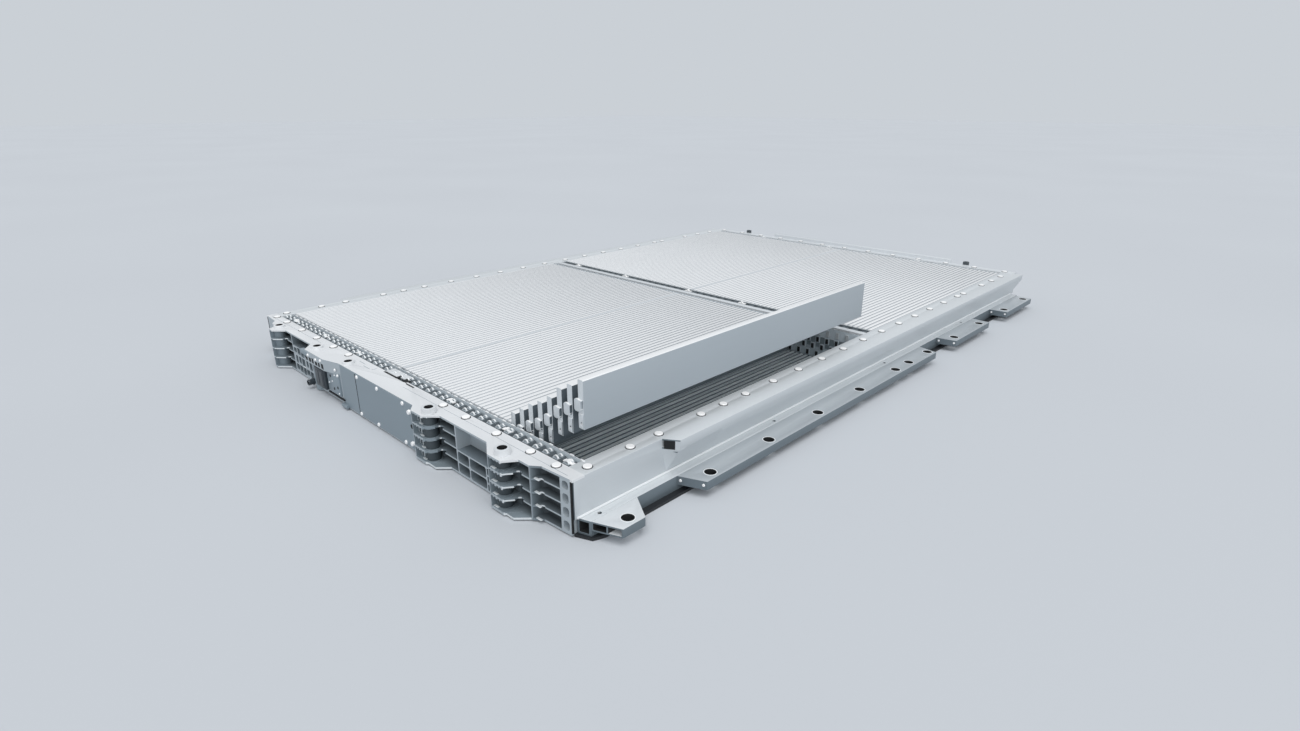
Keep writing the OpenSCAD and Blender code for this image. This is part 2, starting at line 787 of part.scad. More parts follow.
// Clips that hold the carriers down, standing on the castles
clip_spots = [
    [-571, row_clear + front_row_depth / 2], [-374, row_clear + front_row_depth / 2],
    [-174, row_clear + front_row_depth / 2], [249, row_clear + front_row_depth / 2],
    [449, row_clear + front_row_depth / 2], [bay_half - 14, row_clear + front_row_depth / 2],
    [-553, middle_rear_y + 8.5], [-297, middle_rear_y + 8.5], [0, middle_rear_y + 8.5],
    [220, middle_rear_y + 8.5], [-400, rear_row_y + 5], [-60, rear_row_y + 5], [330, rear_row_y + 5]];

module carrier_clips() {
    color("#dfe4e6") place() for (c = clip_spots) translate([c[0], c[1], top - 3]) {
        translate([-13, -4, 0]) cube([26, 8, 2]);
        cylinder(r = 4, h = 6);
    }
}

module main_lead_tab() {
    color("#d5dadd") place() {
        block([12, -8, top], [78, 22, top + 2]);
        block([20, 4, top - 3], [70, 20, top]);
    }
}

// The rear end

module rear_end_beam() {
    edge = rail_out - skin;
    color("#aeb8bd") place() difference() {
        block([-edge, rear_y, cast_low], [edge, rear_back, top]);
        // Three chambers with ribs between them
        for (i = [0:2])
            block([-edge - 1, rear_y + wall, cast_low + wall + i * (cast_height - wall) / 3],
                  [edge + 1, rear_back - wall, cast_low + (i + 1) * (cast_height - wall) / 3]);
        for (x = rear_bolt_spots())
            translate([x, rear_y + rear_depth / 2, top - bolt_shank - 1])
                cylinder(r = bolt_shank_r, h = bolt_shank + 2);
    }
}

function rear_bolt_spots() = [for (i = [0:12]) -rail_out + 35 + i * (rail_out - 35) / 6];

module rear_service_box() {
    color("#b4bdc2") place() difference() {
        block([box_left, rear_back, top - box_fall], [box_right, rear_back + box_deep, top + box_rise]);
        block([box_left + 3, rear_back + 3, top - box_fall - 1],
              [box_right - 3, rear_back + box_deep - 3, top + box_rise - 3]);
    }
}

module rear_bosses() {
    color("#a7b1b7") place() for (x = boss_spots) {
        difference() {
            translate([x, rear_back + 8, top - 16]) cylinder(r = 11, h = 26);
            translate([x, rear_back + 8, top - 17]) cylinder(r = 5, h = 28);
            block([x - 12, rear_back - 4, top - 17], [x + 12, rear_back, top + 11]);
        }
    }
}

// The bolts along the top

module side_bolts() {
    for (y = bolt_rows())
        translate([rail_bolt_x, y, top]) bolt(bolt_head_r, bolt_head_h, bolt_shank_r, bolt_shank);
}

module side_bolts_right() {
    color("#eef1f2") place() side_bolts();
}

module side_bolts_left() {
    color("#eef1f2") place() mirror([1, 0, 0]) side_bolts();
}

module front_bolts() {
    color("#eef1f2") place() for (x = concat(right_bolts, left_bolts))
        translate([x, cast_bolt_y, top]) bolt(bolt_head_r, bolt_head_h, bolt_shank_r, bolt_shank);
}

module rear_bolts() {
    color("#eef1f2") place() for (x = rear_bolt_spots())
        translate([x, rear_y + rear_depth / 2, top]) bolt(bolt_head_r, bolt_head_h, bolt_shank_r, bolt_shank);
}

bottom_guard();
floor_plate();
seat_ridges();
thermal_pads();
front_end_casting();
rear_end_beam();
side_beam_right();
side_beam_left();
middle_crossbeam();
flange_right(tab_flange, tab_holes);  // flange_tab_right
flange_right(main_flange, main_holes);  // flange_main_right
flange_right(mid_flange, mid_holes);  // flange_mid_right
flange_right(rear_flange, rear_holes);  // flange_rear_right
flange_left(tab_flange, tab_holes);  // flange_tab_left
flange_left(main_flange, main_holes);  // flange_main_left
flange_left(mid_flange, mid_holes);  // flange_mid_left
flange_left(rear_flange, rear_holes);  // flange_rear_left
centre_bar_front();
centre_bar_rear();
cells_front_left();
cells_front_right();
cells_rear_left();
cells_rear_right();
lifted_cell(0);  // lifted_cell_1
lifted_cell(1);  // lifted_cell_2
lifted_cell(2);  // lifted_cell_3
lifted_cell(3);  // lifted_cell_4
lifted_cell(4);  // lifted_cell_5
lifted_cell(5);  // lifted_cell_6
lifted_cell(6);  // lifted_cell_7
lifted_cell(7);  // lifted_cell_8
carrier_front();
carrier_middle_front();
carrier_middle_rear();
carrier_rear();
busbars_front();
busbars_middle_front();
busbars_middle_rear();
busbars_rear();
carrier_clips();
main_lead_tab();
side_bolts_right();
side_bolts_left();
front_bolts();
rear_bolts();
cover_plate_wide();
cover_plate_narrow();
cover_screws();
mounting_sleeves();
hv_connector();
coolant_stub();
rear_service_box();
rear_bosses();
contactors();
main_fuse();
monitor_board();
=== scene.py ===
# %% [markdown]
# # A car's battery pack with its lid off
# The solids come from the imported part and stay where they are. This script gives each of them a finish,
# softens the edges of the metal pieces, and adds the small pieces that only the eye needs: bolt heads,
# clamps on the front row, screws, grooves and sockets. Many of these finishes and pieces paint light and
# shade: lighter lit tops, highlights on edges, rims and lips, and dark or black shade in pockets, holes,
# gaps, grooves and round the feet of bolt heads.

# %% Load the part
import math

import bmesh
import bpy
from mathutils import Matrix, Vector


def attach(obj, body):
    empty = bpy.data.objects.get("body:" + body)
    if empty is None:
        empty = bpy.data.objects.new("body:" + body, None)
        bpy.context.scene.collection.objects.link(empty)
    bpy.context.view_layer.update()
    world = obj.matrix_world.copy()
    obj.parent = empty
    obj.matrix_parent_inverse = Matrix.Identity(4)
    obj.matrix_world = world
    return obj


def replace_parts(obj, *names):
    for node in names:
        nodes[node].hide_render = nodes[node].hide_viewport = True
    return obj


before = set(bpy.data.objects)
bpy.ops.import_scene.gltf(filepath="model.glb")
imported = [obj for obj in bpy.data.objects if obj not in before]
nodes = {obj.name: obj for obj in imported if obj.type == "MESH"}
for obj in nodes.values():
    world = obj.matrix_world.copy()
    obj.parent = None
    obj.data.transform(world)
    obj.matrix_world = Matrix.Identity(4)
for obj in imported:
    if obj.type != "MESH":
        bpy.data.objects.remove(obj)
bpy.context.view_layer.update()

# %% [markdown]
# The part was drawn in millimetres with Y counted from the inner face of the front casting.
# Blender counts in metres, so a few small helpers keep those numbers readable here: `mm` turns them into
# metres, `at` gives a point of the pack from its place in the drawing, and `drawn` goes the other way.

# %% Places in the drawing
Y_MID = 1000.0
TOP = 111.0
BAY_HALF = 644.0
RAIL_WIDTH = 41.0
RAIL_OUT = 685.0
SILL_OUT = 707.0
FLANGE_OUT = 762.0
PITCH = 14.5
SPACER_HALF = 6.0
FLANGE_TOP = TOP - 75.7
REAR_Y = 2033.0
CELLS_A_SIDE = 44
OPEN_PLACES = 15
DRAWN_OUT_CELLS = 8
LEVELS = 4
FIRST_SHELF = 25.0
SHELF_PITCH = 26.3
FLANGE_HOLE_R = 12.0
FLANGE_HOLE_X = 742.0
FLANGE_HOLES_Y = [43] + [260 + k * 189.5 for k in range(5)] + [1095, 1212, 1397, 1590, 1812, 2000]
SLEEVES = [(271, -49), (523, -49.5), (-122, -37.5), (-288, -43), (-542, -43)]
SLEEVE_R = 14.0
SLEEVE_BORE_R = 9.0
RAIL_BOLT_X = RAIL_OUT - RAIL_WIDTH * 0.44
RAIL_BOLTS_Y = ([22, 123, 197, 319, 389] + [464 + k * 101.1 for k in range(11)]
                + [REAR_Y - back for back in (454, 406, 251, 161, 73)])
FRONT_BOLTS_X = [262, 346, 450, 554, 626, -177, -264, -367, -465, -571, -645]
REAR_BOLTS_X = [-650 + k * 650 / 6 for k in range(13)]


def mm(value):
    return value / 1000.0


def at(x, y, z):
    return Vector((mm(x), mm(y - Y_MID), mm(z)))


def drawn(point):
    """The place in the drawing of a point of the pack."""
    return point.x * 1000.0, point.y * 1000.0 + Y_MID, point.z * 1000.0


def place_x(k, side):
    """The middle of cell place k, counted from the bar in the middle, on side 1 or -1."""
    return side * (SPACER_HALF + (k + 0.5) * PITCH)


def near(point, x, y, radius):
    """Whether a point of the pack lies within radius of the upright line at x and y in the drawing."""
    point_x, point_y, _ = drawn(point)
    return math.hypot(point_x - x, point_y - y) < radius


def shelf_z(i):
    """The height of a pocket's floor in the front casting, on the level i from the top."""
    return TOP - FIRST_SHELF - i * SHELF_PITCH


print("centre of the front casting's inner face:", at(0, 0, TOP))

# %% [markdown]
# The camera stands off the front right corner, above the pack, and looks across it to the far left.
# Its place, its direction and its lens were solved from the bolts and edges of the photograph,
# so the render can be laid over it.

# %% Camera
CAMERA_AT = at(1474.2, -659.3, 685.9)
CAMERA_TURN = math.radians(-44.0953)
CAMERA_DOWN = math.radians(20.4615)
PICTURE_W = 1300.0
FOCAL_PIXELS = 701.76
SENSOR_W = 36.0

camera_data = bpy.data.cameras.new("photo_camera")
camera_data.sensor_width = SENSOR_W
camera_data.lens = SENSOR_W * FOCAL_PIXELS / PICTURE_W
camera_data.clip_start = 0.01
camera_data.clip_end = 200.0
camera = bpy.data.objects.new("photo_camera", camera_data)
look = Vector((math.cos(CAMERA_DOWN) * math.sin(CAMERA_TURN),
               math.cos(CAMERA_DOWN) * math.cos(CAMERA_TURN), -math.sin(CAMERA_DOWN)))
camera.location = CAMERA_AT
camera.rotation_euler = look.to_track_quat("-Z", "Y").to_euler()
bpy.context.scene.collection.objects.link(camera)
bpy.context.scene.camera = camera
bpy.context.scene.view_settings.view_transform = "Standard"
print("lens:", round(camera_data.lens, 2), "mm")

# %% [markdown]
# ## Shader maths as plain sums
# A material is a net of nodes. Written out by hand, even `a * 2 + b` takes three nodes and four links.
# `Wire` wraps one socket, so that Python's own operators add the Math nodes, and `Finish` adds every other
# kind of node from its settings and its socket values.

# %% Wire and Finish
class Wire:
    """One output socket that can stand in a sum."""

    def __init__(self, finish, socket):
        self.finish = finish
        self.socket = socket

    def maths(self, operation, first, second):
        return self.finish.add("ShaderNodeMath", {"operation": operation}, {0: first, 1: second})

    def __add__(self, other):
        return self.maths("ADD", self, other)

    __radd__ = __add__

    def __sub__(self, other):
        return self.maths("SUBTRACT", self, other)

    def __rsub__(self, other):
        return self.maths("SUBTRACT", other, self)

    def __mul__(self, other):
        return self.maths("MULTIPLY", self, other)

    __rmul__ = __mul__


class Finish:
    """A material and the nodes that make it."""

    def __init__(self, name):
        self.material = bpy.data.materials.new(name)
        self.material.use_nodes = True
        self.tree = self.material.node_tree
        self.tree.nodes.clear()
        self.place = self.add("ShaderNodeTexCoord", out="Object")

    def add(self, kind, settings=None, sockets=None, out=0):
        node = self.tree.nodes.new(kind)
        for name, value in (settings or {}).items():
            setattr(node, name, value)
        for name, value in (sockets or {}).items():
            if isinstance(value, Wire):
                self.tree.links.new(value.socket, node.inputs[name])
            else:
                node.inputs[name].default_value = value
        return Wire(self, node.outputs[out])

    def noise(self, scale, stretch, detail):
        """Noise of a size given in marks per metre, stretched along the axes."""
        mapped = self.add("ShaderNodeMapping", None, {"Vector": self.place, "Scale": stretch})
        return self.add("ShaderNodeTexNoise", None,
                        {"Vector": mapped, "Scale": scale, "Detail": detail, "Roughness": 0.5})

    def blend(self, dark, light, amount):
        """A colour between two, by a wire."""
        return self.add("ShaderNodeMix", {"data_type": "RGBA"},
                        {0: amount, 6: (*dark, 1.0), 7: (*light, 1.0)}, out=2)

    def shade(self, colour, rough, metallic=0.0, height=None, depth=0.0, extra=None):
        """Ends the material in one surface shader.

        height is a wire for the bump, and extra holds the values of any other sockets."""
        sockets = {"Base Color": colour, "Roughness": rough, "Metallic": metallic}
        sockets.update(extra or {})
        if height is not None:
            sockets["Normal"] = self.add("ShaderNodeBump", None,
                                         {"Height": height, "Distance": depth, "Strength": 0.6})
        surface = self.add("ShaderNodeBsdfPrincipled", None, sockets)
        end = self.tree.nodes.new("ShaderNodeOutputMaterial")
        self.tree.links.new(surface.socket, end.inputs["Surface"])
        return self.material


def swung(grain, rough, swing):
    """A roughness that the grain moves up and down by half of swing."""
    return grain * swing + (rough - swing / 2)


print("helpers ready")

# %% [markdown]
# ## The finishes
# Extruded aluminium carries fine lines along the way it was pushed through its die, so its noise is
# stretched along Y. Cast aluminium is blasted and shows a fine even grain with broad, faint clouds.
# Rolled cans and sheet are smoother still. One function makes the metals, with its grain as an argument.

# %% Metals
ALONG = (1.0, 0.02, 1.0)
ACROSS = (0.02, 1.0, 1.0)
EVEN = (1.0, 1.0, 1.0)
DEEP_SHARE = 0.85
DEEP_TONE = 0.16


def metal(name, colour, rough, metallic, lines, size, clouds=0.05, depth=0.00004, deep=None):
    """A metal whose grain is size marks per metre, stretched by lines along each axis.

    deep, if given, is the front and the back Y in metres between which the colour sinks into shade."""
    finish = Finish(name)
    grain = finish.noise(size, lines, detail=4.0)
    cloud = finish.noise(5.0, EVEN, detail=2.0)
    dark = tuple(c * (1.0 - clouds * 1.6) for c in colour)
    light = tuple(min(1.0, c * (1.0 + clouds)) for c in colour)
    mixed = finish.blend(dark, light, grain * 0.55 + cloud * 0.45)
    if deep:
        front, back = deep
        y = finish.add("ShaderNodeSeparateXYZ", None, {"Vector": finish.place}, out=1)
        sunk = finish.add("ShaderNodeClamp", None, {"Value": (y - front) * (1.0 / (back - front))})
        mixed = finish.add("ShaderNodeMix", {"data_type": "RGBA"},
                           {0: sunk * DEEP_SHARE, 6: mixed, 7: (*[c * DEEP_TONE for c in colour], 1.0)},
                           out=2)
    return finish.shade(mixed, swung(grain, rough, 0.16), metallic, grain, depth)


beam_metal = metal("extruded_beam", (0.66, 0.69, 0.71), 0.40, 0.25, ALONG, 900.0)
# The beams' sides are a copy of their metal painted darker as shade.
beam_wall_shade = metal("extruded_beam_side_painted_shade", (0.57, 0.605, 0.63), 0.42, 0.25, ALONG, 900.0)
flange_metal = metal("extruded_flange", (0.70, 0.725, 0.745), 0.38, 0.20, ALONG, 900.0)
# The long flanges are a copy of the flange metal painted darker as shade. The dull metal after it serves sawn
# edges and end plates, and is also painted dark as shade on undersides and the sills' sides.
flange_shade_metal = metal("extruded_flange_painted_shade", (0.48, 0.515, 0.54), 0.34, 0.35, ALONG, 900.0)
dull_shaded_metal = metal("dull_edge_painted_shade", (0.155, 0.19, 0.215), 0.45, 0.25, ALONG, 700.0, 0.08)
crossbeam_metal = metal("extruded_crossbeam", (0.68, 0.71, 0.735), 0.4, 0.25, ACROSS, 900.0)
# The casting is one metal in four tones: a milled top painted lighter as lit, pocket faces in painted shade
# that deepens towards the back, plain faces, and rib edges painted bright as a highlight.
milled_lit_casting_top = metal("milled_casting_painted_light", (0.76, 0.775, 0.79), 0.42, 0.20, EVEN, 1500.0, 0.04)
shaded_cast_metal = metal("blasted_casting_painted_shade", (0.25, 0.30, 0.335), 0.50, 0.20, EVEN, 1500.0, 0.07, 0.0001,
                   deep=(mm(-50 - Y_MID), mm(-14 - Y_MID)))
cast_face = metal("casting_face", (0.43, 0.48, 0.515), 0.46, 0.20, EVEN, 1500.0, 0.06, 0.00008)
cast_rim_highlight = metal("casting_rib_edge_painted_highlight", (0.74, 0.78, 0.80), 0.40, 0.20, EVEN, 1500.0, 0.05, 0.00005)
can_metal = metal("cell_can", (0.80, 0.81, 0.82), 0.38, 0.10, ALONG, 300.0, 0.02, 0.00001)
# The shoulders of the cells are painted dark as the shade between them.
can_shoulder_shade = metal("cell_shoulder_painted_shade", (0.37, 0.395, 0.42), 0.42, 0.15, ALONG, 300.0, 0.03, 0.00001)
can_film = metal("cell_film", (0.30, 0.345, 0.385), 0.42, 0.15, ALONG, 300.0, 0.04, 0.00001)
# The bright lip metal paints highlights on lips, hole chamfers, straps and lugs.
highlight_metal = metal("bright_lip_painted_highlight", (0.90, 0.92, 0.93), 0.32, 0.20, ALONG, 500.0, 0.03, 0.00002)
cap_metal = metal("cell_cap", (0.62, 0.66, 0.69), 0.34, 0.25, EVEN, 1200.0, 0.05)
cover_metal = metal("pressed_cover", (0.25, 0.305, 0.345), 0.42, 0.25, ACROSS, 700.0, 0.05)
cover_metal_light = metal("pressed_cover_light", (0.262, 0.318, 0.358), 0.42, 0.25, ACROSS, 700.0, 0.05)
bolt_metal = metal("plated_bolt", (0.98, 0.98, 0.98), 0.30, 0.06, EVEN, 1500.0, 0.03)
sleeve_metal = metal("plated_sleeve", (0.74, 0.77, 0.79), 0.30, 0.35, EVEN, 1200.0, 0.04)
clamp_metal = metal("clamp_sheet", (0.40, 0.45, 0.485), 0.36, 0.35, EVEN, 900.0, 0.08)
link_metal = metal("plated_link", (0.30, 0.35, 0.38), 0.36, 0.55, ACROSS, 700.0, 0.08)
blade_side = metal("blade_side", (0.385, 0.43, 0.465), 0.40, 0.12, ALONG, 300.0, 0.03, 0.00001)
# The sleeve shanks are painted dark as the shade of their pockets.
sleeve_shank_shade = metal("sleeve_shank_shade", (0.055, 0.07, 0.08), 0.6, 0.1, EVEN, 1200.0, 0.06)
blade_shade = metal("blade_side_painted_shade", (0.10, 0.125, 0.145), 0.5, 0.12, ALONG, 300.0, 0.04, 0.00001)
floor_metal = metal("tray_floor", (0.135, 0.17, 0.20), 0.46, 0.20, ALONG, 700.0, 0.08)
print("metals ready")

# %% [markdown]
# Moulded plastic isn't one flat black. It has a fine spark-eroded grain and a soft, uneven gloss.
# The pale compound of the ridges and pads, and the black that paints the shade in holes, gaps and chambers,
# are made in the same way.

# %% Plastics and compound
SPARK_DEPTH = 0.00006


def moulded(name, colour, rough, size=1400.0):
    finish = Finish(name)
    grain = finish.noise(size, EVEN, detail=3.0)
    broad = finish.noise(9.0, EVEN, detail=2.0)
    mixed = finish.blend(tuple(c * 0.78 for c in colour), tuple(c * 1.22 for c in colour),
                         grain * 0.5 + broad * 0.5)
    return finish.shade(mixed, swung(grain, rough, 0.2), 0.0, grain, SPARK_DEPTH)


carrier_plastic = moulded("carrier_plastic", (0.095, 0.115, 0.13), 0.45)
# The pale rim plastic paints a highlight on the top of the carriers' upstands, and makes the bay's light
# tabs.
carrier_rim = moulded("carrier_rim", (0.62, 0.66, 0.69), 0.4)
carrier_groove_shade = moulded("carrier_groove_shade", (0.04, 0.05, 0.06), 0.55)
wall_plastic = moulded("bay_wall", (0.55, 0.62, 0.67), 0.5)
guard_plastic = moulded("guard_plastic", (0.012, 0.014, 0.017), 0.55, 900.0)
connector_plastic = moulded("connector_plastic", (0.035, 0.045, 0.055), 0.35)
fuse_body = moulded("fuse_body", (0.52, 0.47, 0.34), 0.5)
board_resin = moulded("board_resin", (0.02, 0.13, 0.06), 0.4)
ridge_compound = moulded("ridge_compound", (0.78, 0.85, 0.90), 0.45, 500.0)
ridge_crest_highlight = metal("ridge_crest_highlight", (0.90, 0.96, 0.99), 0.35, 0.10, ALONG, 400.0, 0.03, 0.00001)
# A near black that paints the shade in holes, gaps, chambers and under bolt heads.
black_painted_shade = moulded("black_painted_shade", (0.004, 0.005, 0.006), 0.7)
print("plastics ready")

# %% [markdown]
# ## Edges
# Extruding, casting and pressing all leave small radii, and it is there that metal catches the light.
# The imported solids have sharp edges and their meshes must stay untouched, so a metal piece is shown by a
# copy: its loose triangles are joined, the flat ones melt into whole faces, and the sharp edges get a
# small bevel. Every piece that this script makes is put on the pack's one body by `new_piece`.

# %% New pieces
def new_piece(name, mesh_data, finish, soft_angle=35.0):
    """A finished piece of the pack, riding on its body."""
    data = bpy.data.meshes.new(name)
    mesh_data.normal_update()
    mesh_data.to_mesh(data)
    mesh_data.free()
    for stray in [a.name for a in data.attributes if a.name == "custom_normal"]:
        data.attributes.remove(data.attributes[stray])
    for one in finish if isinstance(finish, (list, tuple)) else [finish]:
        data.materials.append(one)
    data.polygons.foreach_set("use_smooth", [True] * len(data.polygons))
    data.set_sharp_from_angle(angle=math.radians(soft_angle))
    piece = bpy.data.objects.new(name, data)
    bpy.context.scene.collection.objects.link(piece)
    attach(piece, "root")
    return piece


print("new pieces ready")

# %% [markdown]
# A copy can be cut before its edges are softened. A Boolean modifier takes blocks away from it, and what is
# left becomes its mesh.

# %% Blocks and cuts
JOIN_WITHIN = mm(0.02)


def block_place(low, high):
    """The matrix that turns a unit cube into the block between two corners in the drawing."""
    low, high = at(*low), at(*high)
    return Matrix.Translation((low + high) / 2) @ Matrix.Diagonal((*(high - low), 1.0))


def cut_away(source, cutters):
    """The mesh of source less the blocks in cutters, each given by two corners in the drawing."""
    blocks = bmesh.new()
    for low, high in cutters:
        bmesh.ops.create_cube(blocks, size=1.0, matrix=block_place(low, high))
    data = bpy.data.meshes.new("blocks")
    blocks.to_mesh(data)
    blocks.free()
    knife = bpy.data.objects.new("blocks", data)
    whole = bmesh.new()
    whole.from_mesh(source.data)
    bmesh.ops.remove_doubles(whole, verts=whole.verts, dist=JOIN_WITHIN)
    body_data = bpy.data.meshes.new("body_to_cut")
    whole.to_mesh(body_data)
    whole.free()
    body = bpy.data.objects.new("body_to_cut", body_data)
    for one in (knife, body):
        bpy.context.scene.collection.objects.link(one)
    cut = body.modifiers.new("cut", "BOOLEAN")
    cut.operation, cut.object, cut.solver = "DIFFERENCE", knife, "EXACT"
    shape = bmesh.new()
    shape.from_object(body, bpy.context.evaluated_depsgraph_get())
    for one in (knife, body):
        bpy.data.objects.remove(one)
    return shape


print("cuts ready")

# %% Softened copies
FLAT_WITHIN = math.radians(0.6)
SHARP_FROM = math.radians(28.0)


def joined_copy(node, cutters=None):
    """The node's mesh with its triangles joined and its flat faces whole."""
    if cutters:
        shape = cut_away(nodes[node], cutters)
    else:
        shape = bmesh.new()
        shape.from_mesh(nodes[node].data)
    bmesh.ops.remove_doubles(shape, verts=shape.verts, dist=JOIN_WITHIN)
    bmesh.ops.dissolve_limit(shape, angle_limit=FLAT_WITHIN, verts=shape.verts, edges=shape.edges)
    return shape


def soften(node, finish, width, segments=2, rule=None, cutters=None):
    """The node's copy with soft edges, cut first by cutters if there are any.

    rule gives the number of a face's finish from its middle, its normal and its area."""
    shape = joined_copy(node, cutters)
    edges = [e for e in shape.edges if len(e.link_faces) == 2 and e.calc_face_angle(0.0) > SHARP_FROM]
    bmesh.ops.bevel(shape, geom=edges, offset=mm(width), offset_type="OFFSET", segments=segments,
                    profile=0.5, affect="EDGES", clamp_overlap=True, material=-1)
    shape.normal_update()
    for face in shape.faces:
        face.material_index = rule(face.calc_center_median(), face.normal, face.calc_area()) if rule else 0
    piece = new_piece(node + "_soft", shape, finish)
    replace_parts(piece, node)
    print(node, "softened,", len(piece.data.polygons), "faces")


print("softening ready")

# %% [markdown]
# ### Two finishes on one piece
# A flange is sawn from its extrusion, so its cut ends and outer edge are duller than its upper face; they
# and its underside are also painted dark as shade, and its bores and chambers are painted black as shade.
# The casting's top is milled for the lid's seal and painted lighter as lit, while the ribbed front keeps the
# blasted skin; the faces in its pockets are painted shade that deepens towards the back, and the edges of its
# ribs carry a painted highlight. A small rule for each piece picks the finish of every face from its middle,
# its normal and its area.

# %% Rules for flanges and side beams
SKIN = 3.5


def flange_rule(middle, normal, area):
    """0 is the upper face, 1 a sawn edge or the underside, painted dark as shade, 2 the inside of a hole or a
    chamber, painted black as shade.
    """
    if any(near(middle, side * FLANGE_HOLE_X, y, FLANGE_HOLE_R + 0.6)
           for side in (1, -1) for y in FLANGE_HOLES_Y):
        return 2 if abs(normal.z) < 0.5 else 0
    x, _, z = drawn(middle)
    in_chamber = SILL_OUT + 2.5 < abs(x) < FLANGE_OUT - 2.5 and FLANGE_TOP - 17.0 < z < FLANGE_TOP - 1.0
    if in_chamber and abs(normal.y) < 0.5:
        return 2
    return 1 if abs(normal.z) < 0.4 or normal.z < -0.5 else 0


def beam_rule(middle, normal, area):
    """0 is a face that looks up, 1 an outer side and 2 a sawn end or the sill's side, both painted darker as
    shade, 3 the inside, painted black as shade.
    """
    x, _, z = drawn(middle)
    x = abs(x)
    in_wall = BAY_HALF + SKIN < x < RAIL_OUT - SKIN and z < TOP - SKIN
    in_sill = RAIL_OUT - 0.5 < x < SILL_OUT - SKIN and 9.5 < z < FLANGE_TOP - SKIN
    if (in_wall or in_sill) and abs(normal.y) < 0.5:
        return 3
    if normal.z > 0.5:
        return 0
    if x > SILL_OUT - 1.0 and z < FLANGE_TOP + 1.0:
        return 2
    if abs(normal.y) > 0.7:
        return 2
    inward = normal.x * middle.x < 0
    return 3 if inward and x > BAY_HALF + 5.0 else 1


print("rules ready for flanges and side beams")

# %% Rules for the casting and its sleeves
RECESS_LEFT = 356.0
RECESS_RIGHT = 466.0
RIB_EDGE_AREA = 1.6e-4


def casting_rule(middle, normal, area):
    """0 is milled and painted lighter as lit, 1 painted shade in a pocket, 2 a plain face, 3 a rib edge with
    a painted highlight.
    """
    x, y, z = drawn(middle)
    if z > TOP - 4.2 and (normal.z > 0.3 or normal.y < -0.3):
        return 0
    if abs(x) > RAIL_OUT - 1.5 and z > TOP - 6.0:
        return 0
    if abs(x) > 652.0 and y > -60.0:
        return 2
    if RECESS_LEFT < x < RECESS_RIGHT and y > -54.0 and z > shelf_z(1) - 2.0:
        return 0 if normal.z > 0.5 else 2
    if any(near(middle, sleeve_x, sleeve_y, SLEEVE_R + 4.5) for sleeve_x, sleeve_y in SLEEVES):
        return 1
    if normal.y < -0.3 and y < (-25.0 if abs(x) > 600.0 else -40.0):
        return 3 if area < RIB_EDGE_AREA else 2
    return 1


def sleeve_rule(middle, normal, area):
    """0 is a collar on the right, 1 a bore in black painted shade, 2 a shank on the right painted dark as
    shade, 3 a sleeve on the left in the milled finish painted lighter as lit.
    """
    if any(near(middle, x, y, SLEEVE_BORE_R + 0.4) for x, y in SLEEVES) and abs(normal.z) < 0.6:
        return 1
    if middle.x < 0:
        return 3
    return 2 if middle.z < mm(TOP - 5.0) else 0


print("rules ready for the casting and its sleeves")

# %% Rules for the cells
def cell_rule(middle, normal, area):
    """0 is the top, 1 a side, 2 a shoulder painted dark as the shade between cells."""
    return 1 if abs(normal.x) > 0.9 else 2 if abs(normal.x) > 0.25 else 0


def lifted_rule(middle, normal, area):
    """0 is the top, 1 the right side, painted dark as shade on all but the last cell, 2 an end, 3 the left
    side.
    """
    return 2 if abs(normal.y) > 0.5 else 1 if normal.x > 0.9 else 3 if normal.x < -0.9 else 0


print("rules ready for the cells")

# %% [markdown]
# The pockets of the casting's right-hand blocks are widened between their shelves, and narrow upright slots
# are cut beside them. The cuts keep a little off each shelf, because two faces in one plane cut badly.

# %% Cuts in the casting
CUT_FRONT = -80.0
WIDE_POCKETS = ((250.0, 291.0), (508.0, 546.0))
WIDE_BACK = -31.4
SLOTS = ((467.0, 474.0), (478.0, 487.0), (491.0, 501.5), (219.0, 225.0), (229.0, 235.0), (238.5, 246.0))
SLOT_BACK = -40.4
casting_cuts = []
for i in range(LEVELS):
    low = shelf_z(i) + 1.5
    high = (shelf_z(i - 1) if i else TOP) - 5.5
    for spans, back in ((WIDE_POCKETS, WIDE_BACK), (SLOTS, SLOT_BACK)):
        casting_cuts += [((left, CUT_FRONT, low), (right, back, high)) for left, right in spans]
print(len(casting_cuts), "cuts in the casting")

# %% Soft edges on beams, flanges, casting and cells
for side in ("right", "left"):
    # A beam's sides and sawn ends are painted darker as shade, and its insides black as shade.
    soften("side_beam_" + side, [beam_metal, beam_wall_shade, dull_shaded_metal, black_painted_shade], 0.9, rule=beam_rule)
    for part in ("tab", "main", "mid", "rear"):
        # The long flanges take the copy painted darker as shade.
        face_metal = flange_metal if part == "tab" else flange_shade_metal
        soften("flange_%s_%s" % (part, side), [face_metal, dull_shaded_metal, black_painted_shade], 0.8, rule=flange_rule)
soften("front_end_casting", [milled_lit_casting_top, shaded_cast_metal, cast_face, cast_rim_highlight], 0.6, rule=casting_rule,
       cutters=casting_cuts)
soften("rear_end_beam", crossbeam_metal, 0.9)
soften("middle_crossbeam", crossbeam_metal, 0.6)
soften("mounting_sleeves", [sleeve_metal, black_painted_shade, sleeve_shank_shade, milled_lit_casting_top], 0.9, rule=sleeve_rule)
soften("rear_service_box", crossbeam_metal, 0.8)
for name in ("cells_front_left", "cells_front_right", "cells_rear_left", "cells_rear_right"):
    soften(name, [can_metal, can_film, can_shoulder_shade], 0.3, segments=1, rule=cell_rule)
